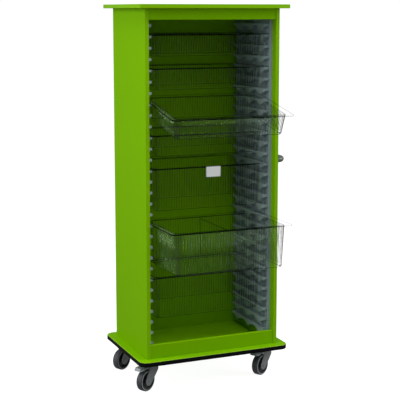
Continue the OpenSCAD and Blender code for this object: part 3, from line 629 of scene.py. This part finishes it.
# %% [markdown]
# ## From an outline to a board
# bmesh builds the prism: one ring of corners at each end, and a face between each pair. A face
# narrower than three centimetres is an edge, so it gets the band. Bevel could be done in bmesh
# too, but as a modifier its width stays one number that is easy to change.

# %% A prism
BAND_WIDTH = 0.03


def prism(name, outline, low, high, along):
    """A mesh over outline (pairs of metres) from low to high along Y or Z."""
    build = bmesh.new()
    rings = [[build.verts.new((a, h, b) if along == "Y" else (a, b, h)) for a, b in outline]
             for h in (low, high)]
    for ring in rings:
        build.faces.new(ring)
    for i in range(len(outline)):
        j = (i + 1) % len(outline)
        face = build.faces.new([rings[0][i], rings[0][j], rings[1][j], rings[1][i]])
        length = (Vector(outline[j]) - Vector(outline[i])).length
        face.material_index = int(min(length, high - low) < BAND_WIDTH)
    bmesh.ops.recalc_face_normals(build, faces=build.faces)
    mesh = bpy.data.meshes.new(name)
    build.to_mesh(mesh)
    build.free()
    for face in mesh.polygons:
        face.use_smooth = True
    return mesh


print("prism maker ready")

# %% A board: a prism with a bevel
ARRIS, DECK_ARRIS, CORE_ARRIS = 0.0012, 0.0014, 0.0003
BEVEL_STEPS, SHARP = 3, 35


def board(name, outline, low, high, along, node=None, soft=ARRIS, band=band_green):
    """A banded board with a soft arris. It stands for a CAD node where one is named."""
    mesh = prism(name, outline, low, high, along)
    mesh.materials.append(board_green)
    mesh.materials.append(band)
    piece = bpy.data.objects.new(name, mesh)
    scene.collection.objects.link(piece)
    bevel = piece.modifiers.new("arris", "BEVEL")
    bevel.width, bevel.segments, bevel.limit_method = soft, BEVEL_STEPS, "ANGLE"
    bevel.angle_limit = math.radians(SHARP)
    bevel.harden_normals = True
    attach(piece, "root")
    if node:
        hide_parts(node)
    print(name, "runs from", round(low, 4), "to", round(high, 4), "along", along)


print("board maker ready")

# %% [markdown]
# ## The side panels
# Each side panel has a rebate down its rear inner edge, in which the back panel sits. So its
# outline is not a rectangle but an L, and the back panel's own box says where the step is.

# %% Two side panels
back_low, back_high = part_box("back_panel")
for side, sign in (("left", -1), ("right", 1)):
    low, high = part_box(f"side_panel_{side}")
    outer, inner = (low.x, high.x) if sign < 0 else (high.x, low.x)
    lip = back_low.x if sign < 0 else back_high.x
    outline = [(outer, low.y), (inner, low.y), (inner, back_low.y),
               (lip, back_low.y), (lip, high.y), (outer, high.y)]
    if sign > 0:
        outline.reverse()
    board(f"board_side_{side}", outline, low.z, high.z, "Z", f"side_panel_{side}")
print("the rebate steps back", round(abs(lip - inner), 4))

# %% [markdown]
# ## Rails, top and base
# The rails are plain boards. The top board's corners are only eased. The base board's corners
# are cut to a wide radius, and its lower part is narrower all round, because the bumper strip
# sits there. A Boolean could cut that step, but a lip and a core, each a prism of its own,
# keep every face clean for the bevel.

# %% Rails, top board and base board
for rail in ("top_rail", "plinth_rail"):
    low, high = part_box(rail)
    board(f"board_{rail}", box_outline(low.x, low.z, high.x, high.z), low.y, high.y, "Y", rail)

TOP_R, TOP_STEPS, BASE_R, INSET = 0.008, 6, 0.038, 0.004
CORE_GAP, CORE_LAP = 0.0001, 0.0005
low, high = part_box("top_board")
top = round_outline(low.x, low.y, high.x, high.y, TOP_R, TOP_STEPS)
board("board_top", top, low.z, high.z, "Z", "top_board")

low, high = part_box("base_board")
bumper_low, bumper_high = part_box("edge_bumper")
outline = round_outline(low.x, low.y, high.x, high.y, BASE_R)
# The lip's narrow edge and its round arris wear the painted highlight green.
board("board_base_lip", outline, bumper_high.z, high.z, "Z", "base_board", DECK_ARRIS,
      arris_green)
outline = round_outline(low.x + INSET, low.y + INSET, high.x - INSET, high.y - INSET,
                        BASE_R - INSET)
board("board_base_core", outline, low.z + CORE_GAP, bumper_high.z + CORE_LAP, "Z", None,
      CORE_ARRIS)
print("the base board's corners have a radius of", BASE_R)

# %% [markdown]
# ## A maker of geometry
# Geometry Nodes suit what repeats or follows a path. A tree is built like a material's, with a
# named input for each size. A modifier runs it once. The export drops instances, so the tree
# ends in Realize Instances, and the result is kept as a plain mesh without the modifier.

# %% Geometry Nodes helpers
class Maker(Tree):
    """A geometry tree with named inputs. Each input keeps its socket's identifier."""

    def __init__(self, name):
        super().__init__(bpy.data.node_groups.new(name, "GeometryNodeTree"))
        face = self.tree.interface
        face.new_socket("Geometry", in_out="OUTPUT", socket_type="NodeSocketGeometry")
        self.entry = self.tree.nodes.new("NodeGroupInput")
        self.exit = self.tree.nodes.new("NodeGroupOutput")
        self.values = {}

    def size(self, name, value):
        """A named input for a size in metres."""
        item = self.tree.interface.new_socket(name, in_out="INPUT",
                                              socket_type="NodeSocketFloat")
        self.values[item.identifier] = value
        return Wire(self, self.entry.outputs[name])

    def point(self, x, y, z):
        return self.node("ShaderNodeCombineXYZ", {0: x, 1: y, 2: z})

    def finish_with(self, shape, material):
        real = self.node("GeometryNodeRealizeInstances", {0: shape})
        done = self.node("GeometryNodeSetMaterial", {"Geometry": real, "Material": material})
        self.join(self.exit.inputs[0], done)

    def make(self, name, body, slot, turn=None):
        """Run the tree, keep its mesh as a plain piece, turned if asked, that rides on body."""
        holder = bpy.data.objects.new(name, bpy.data.meshes.new(name))
        scene.collection.objects.link(holder)
        modifier = holder.modifiers.new("maker", "NODES")
        modifier.node_group = self.tree
        for identifier, value in self.values.items():
            modifier[identifier] = value
        bpy.context.view_layer.update()
        ready = holder.evaluated_get(bpy.context.evaluated_depsgraph_get())
        mesh = bpy.data.meshes.new_from_object(ready)
        holder.modifiers.remove(modifier)
        holder.data = mesh
        mesh.name = name
        if turn:
            mesh.transform(turn)
        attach(holder, body)
        print(name, "has", len(mesh.polygons), "faces")
        return holder


print("maker ready")

# %% [markdown]
# ## The bumper strip
# The strip is an extruded rubber profile, fitted round the board's edge: rounded at both lips,
# with two shallow grooves. It could be modelled face by face, but a profile swept round an
# outline is just what Curve to Mesh does, and so the strip follows the same rounded rectangle
# as the board. The profile is a small curve of its own, which is removed afterwards.

# %% The bumper's profile
PROFILE = [(0.0048, 0.0094), (0.0018, 0.0094), (0.0005, 0.0086), (0, 0.0070), (0, 0.0036),
           (0.0005, 0.0030), (0, 0.0024), (0, -0.0024), (0.0005, -0.0030), (0, -0.0036),
           (0, -0.0070), (0.0005, -0.0086), (0.0018, -0.0094), (0.0048, -0.0094)]


def profile_curve(name, points):
    """A closed flat curve through pairs: how far in from the strip's face, and how high."""
    curve = bpy.data.curves.new(name, "CURVE")
    spline = curve.splines.new("POLY")
    spline.points.add(len(points) - 1)
    for point, (inward, up) in zip(spline.points, points):
        point.co = (-inward, up, 0, 1)
    spline.use_cyclic_u = True
    holder = bpy.data.objects.new(name, curve)
    scene.collection.objects.link(holder)
    return holder


print("the profile has", len(PROFILE), "points")

# %% Sweep the profile
PROUD, CORNER_STEPS = 0.001, 12
strip = Maker("bumper_sweep")
long = strip.size("Length", bumper_high.x - bumper_low.x)
deep = strip.size("Depth", bumper_high.y - bumper_low.y)
wide = strip.size("Corner", BASE_R + PROUD)
path = strip.node("GeometryNodeCurvePrimitiveQuadrilateral", {"Width": long, "Height": deep})
path = strip.node("GeometryNodeFilletCurve",
                  {"Curve": path, "Count": CORNER_STEPS, "Radius": wide}, mode="POLY")
middle = (bumper_low + bumper_high) / 2
path = strip.node("GeometryNodeTransform", {"Geometry": path, "Translation": middle})
shape = profile_curve("bumper_profile", PROFILE)
profile = strip.node("GeometryNodeObjectInfo", {"Object": shape}, output="Geometry")
swept = strip.node("GeometryNodeCurveToMesh", {"Curve": path, "Profile Curve": profile})
strip.finish_with(swept, bumper_rubber)
bumper = strip.make("bumper_strip", "root", "bumper")
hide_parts("edge_bumper")
bpy.data.objects.remove(shape)
corners = [tuple(round(v, 4) for v in corner) for corner in bumper.bound_box]
print("bumper from", corners[0], "to", corners[6])

# %% [markdown]
# ## Ribs on the tray walls
# The inside of each wall is fluted with fine upright ribs, about eight to a hand's breadth,
# that stiffen the wall and guide dividers. They repeat by rule along four straight walls and
# lean with them, so Geometry Nodes lays them out: a line for each wall, points along it at the
# pitch, and a slim rib stood on each point with the wall's turn and lean.

# %% One wall of ribs
def wall_of_ribs(maker, rib, run, out, quarter, step, tilt):
    """Ribs along one wall: half its run, how far out it is, and its quarter turn."""
    ends = {"Start": maker.point(-run, -out, 0), "End": maker.point(run, -out, 0)}
    line = maker.node("GeometryNodeCurvePrimitiveLine", ends)
    dots = maker.node("GeometryNodeResampleCurve", {"Curve": line, "Length": step},
                      mode="LENGTH")
    stood = maker.node("GeometryNodeInstanceOnPoints",
                       {"Points": dots, "Instance": rib, "Rotation": maker.point(tilt, 0, 0)})
    return maker.node("GeometryNodeTransform",
                      {"Geometry": stood, "Rotation": (0, 0, math.radians(quarter))})


print("a wall of ribs can be laid")

# %% [markdown]
# ## The ribs of a whole tray
# The maker's named inputs hold what a tray's box and a rib's size give: the walls' half runs,
# their lean, the free room in the corners, the pitch and the rib's height. A rib is an
# eight-sided cylinder, because it shows only a pixel or so wide and there are hundreds. The
# four walls are joined, put in their place and smoothed, and one mesh is kept for each tray,
# which slides or tips with it.

# %% Ribs on the four walls of every tray
CORNER_ROOM, RIB_PITCH = 0.030, 0.012
RIB_RADIUS, RIB_SIDES, RIB_SHORTER = 0.0011, 8, 0.001


def tray_ribs(tray):
    low, high, turn = level_box(tray)
    middle = (low + high) / 2
    rim_under = high.z - RIM_T
    floor = low.z + FOOT + WALL
    maker = Maker(f"{tray}_rib_maker")
    half_x = maker.size("Half Width", (high.x - low.x) / 2 - RIM_W - WALL)
    half_y = maker.size("Half Depth", (high.y - low.y) / 2 - RIM_W - WALL)
    lean = maker.size("Lean", LEAN)
    corner = maker.size("Corner", CORNER_ROOM)
    step = maker.size("Pitch", RIB_PITCH)
    tall = maker.size("Height", rim_under - floor)
    thick = maker.size("Rib Radius", RIB_RADIUS)
    rib = maker.node("GeometryNodeMeshCylinder",
                     {"Vertices": RIB_SIDES, "Radius": thick, "Depth": tall - RIB_SHORTER})
    tilt = (lean / tall).math("ARCTANGENT")
    walls = maker.node("GeometryNodeJoinGeometry")
    mid_x, mid_y = half_x - lean / 2, half_y - lean / 2
    runs = [(mid_x, mid_y, 0), (mid_y, mid_x, 90), (mid_x, mid_y, 180), (mid_y, mid_x, 270)]
    for run, out, quarter in runs:
        wall = wall_of_ribs(maker, rib, run - corner, out, quarter, step, tilt)
        maker.join(walls.socket.node.inputs[0], wall)
    centre = Vector((middle.x, middle.y, (rim_under + floor) / 2))
    placed = maker.node("GeometryNodeTransform",
                        {"Geometry": walls, "Translation": centre})
    smooth = maker.node("GeometryNodeSetShadeSmooth", {"Geometry": placed})
    maker.finish_with(smooth, rib_clear)
    maker.make(f"{tray}_ribs", f"{tray}_body", "clear_tray", turn)


for tray in TRAYS:
    tray_ribs(tray)

# %% [markdown]
# ## The floor
# The photograph is a cut-out product picture: pure white all round, bright sides and a dim
# inside. So the floor glows white and takes only a faint shadow. It must not light the
# underside or show in the clear trays, so it hides from diffuse and glossy rays and casts no
# shadow itself. It is a stage, not a piece of the trolley.

# %% The pale floor
SPAN, PAPER, PAPER_GLOW = 60, (0.30, 0.30, 0.30), 0.93
floor_mesh = bpy.data.meshes.new("studio_floor")
floor_mesh.from_pydata([(x, y, 0) for x, y in box_outline(-SPAN, -SPAN, SPAN, SPAN)],
                       [], [(0, 1, 2, 3)])
floor = bpy.data.objects.new("studio_floor", floor_mesh)
scene.collection.objects.link(floor)
floor_finish = Finish("studio_white", PAPER, 0.95, Specular_IOR_Level=0.0,
                      Emission_Color=(1, 1, 1), Emission_Strength=PAPER_GLOW)
floor_mesh.materials.append(floor_finish.material)
floor.visible_diffuse = floor.visible_glossy = floor.visible_shadow = False
print("floor ready")

# %% [markdown]
# ## The sky
# Such pictures light the background apart from the object. The sky does that here: a Light
# Path node tells the camera's rays from the rest. Seen by the camera the sky is white, while
# as a light it is dim, and dimmer from below than from above.

# %% A sky that looks white and lights dimly
SEEN, FROM_ABOVE, FROM_BELOW = 1.03, 0.40, 0.26
LOW_SKY, HIGH_SKY = -0.2, 0.5
world = bpy.data.worlds.new("studio_sky")
world.use_nodes = True
background = world.node_tree.nodes["Background"]
sky = Tree(world.node_tree)
way = sky.node("ShaderNodeTexCoord", output="Generated")
height = sky.node("ShaderNodeSeparateXYZ", {0: way}, output="Z")
as_light = height.between(LOW_SKY, HIGH_SKY) * (FROM_ABOVE - FROM_BELOW) + FROM_BELOW
seen = sky.node("ShaderNodeLightPath", output="Is Camera Ray")
sky.join(background.inputs["Strength"], as_light + seen * (SEEN - as_light))
sky.join(background.inputs["Color"], (1, 1, 1))
scene.world = world
print("sky ready")

# %% [markdown]
# ## Soft lamps
# Two big lamps far to the left and the right light the side panel and the front edges but
# don't reach into the cabinet, which keeps its inside dim. A third above lights the top. A sun
# would be simpler to set, but its shadows are hard-edged, and those in the photograph are soft.

# %% Three lamps, all aimed at the middle of the cabinet
AIM = Vector((0, 0, 0.9))


def lamp(name, spot, width, height, power):
    light = bpy.data.lights.new(name, "AREA")
    light.shape, light.size, light.size_y, light.energy = "RECTANGLE", width, height, power
    stand = bpy.data.objects.new(name, light)
    stand.location = spot
    stand.rotation_euler = (AIM - Vector(spot)).to_track_quat("-Z", "Y").to_euler()
    scene.collection.objects.link(stand)
    print(name, "gives", power, "W")


lamp("side_left", (-4.2, -0.5, 2.3), 2.6, 3.0, 122)
lamp("side_right", (4.0, -1.9, 2.3), 2.4, 3.0, 140)
lamp("top_soft", (-0.6, -0.6, 4.6), 2.6, 2.6, 120)

# %% [markdown]
# ## The camera
# The camera's place was fitted to the cabinet's edges in the photograph. It is measured from
# the floor below the middle of the cabinet's front, so that it follows the CAD. The lens is
# long, as product pictures have it. The camera stands as high as the trolley's top and still
# has all of it in the frame: most of that is done by tilting it down, and a little by shift_y.
# Many clear walls lie behind one another, so the light may pass through up to 48 of them.

# %% Place the camera
EYE_FROM_FRONT = Vector((-2.0011, -4.5149, 1.7259))
PITCH, YAW, SHIFT = 8.368, 23.174, -0.07
FAR, CLEAR_WALLS = 200, 48
FOCAL_PIXELS, PICTURE_PIXELS, SENSOR = 1096.1, 400, 36
left_low, right_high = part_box("side_panel_left")[0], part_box("side_panel_right")[1]
eye = bpy.data.cameras.new("photo_camera")
eye.sensor_width = SENSOR
eye.lens = FOCAL_PIXELS * SENSOR / PICTURE_PIXELS
eye.shift_y = SHIFT
eye.clip_end = FAR
camera = bpy.data.objects.new("photo_camera", eye)
camera.location = Vector(((left_low.x + right_high.x) / 2, left_low.y, 0)) + EYE_FROM_FRONT
camera.rotation_euler = (math.radians(90 - PITCH), 0, math.radians(-YAW))
scene.collection.objects.link(camera)
scene.camera = camera
scene.view_settings.view_transform = "Standard"
scene.cycles.transparent_max_bounces = CLEAR_WALLS
print("camera at", tuple(round(v, 4) for v in camera.location))
